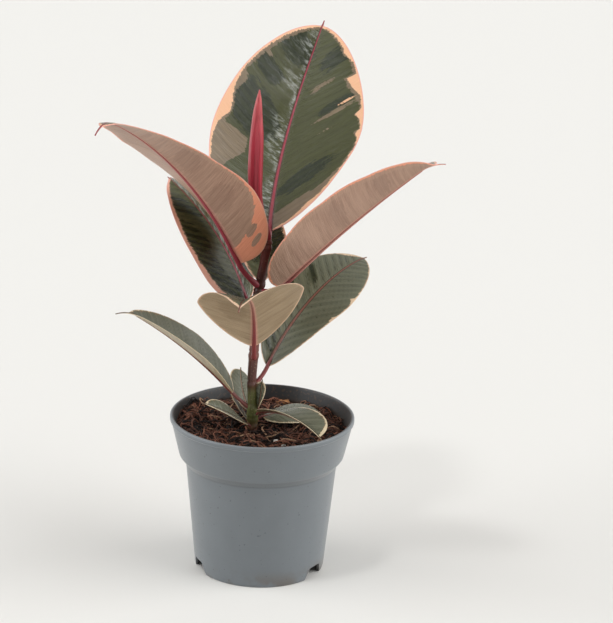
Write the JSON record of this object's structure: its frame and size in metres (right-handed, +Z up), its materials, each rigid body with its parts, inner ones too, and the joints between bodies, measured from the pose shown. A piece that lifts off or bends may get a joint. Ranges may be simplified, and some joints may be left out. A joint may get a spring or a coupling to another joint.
{
  "type": "potted rubber plant",
  "caption": "Young variegated rubber plant with thick oval leaves and a pointed bud sheath, growing in a round tapered nursery pot of potting mix.",
  "frame": {"origin": "middle of the pot's underside, on the surface that the pot stands on", "axes": "+Z up along the pot's axis, -Y towards the front, +X to the right seen from the front"},
  "size_m": [0.21, 0.2328, 0.3402],
  "materials": {
    "pot_plastic": "satin",
    "potting_mix": "matte",
    "stem": "satin",
    "bud_sheath": "satin",
    "leaf": "gloss",
    "bark": "matte",
    "perlite": "matte"
  },
  "bodies": {
    "root": {"pot": "pot_plastic", "potting_mix": "potting_mix", "stem": "stem", "bud_sheath": "bud_sheath", "leaf_top": "leaf", "leaf_upper_left": "leaf", "leaf_upper_right": "leaf", "leaf_back": "leaf", "leaf_middle_left": "leaf", "leaf_front": "leaf", "leaf_middle_right": "leaf", "leaf_lower_left": "leaf", "leaf_small_back": "leaf", "leaf_small_upright": "leaf", "leaf_low_front_left": "leaf", "leaf_lower_right": "leaf", "leaf_low_right_back": "leaf", "leaf_low_left_narrow": "leaf", "bark_chip": "bark", "perlite_1": "perlite", "perlite_2": "perlite"}
  },
  "joints": []
}
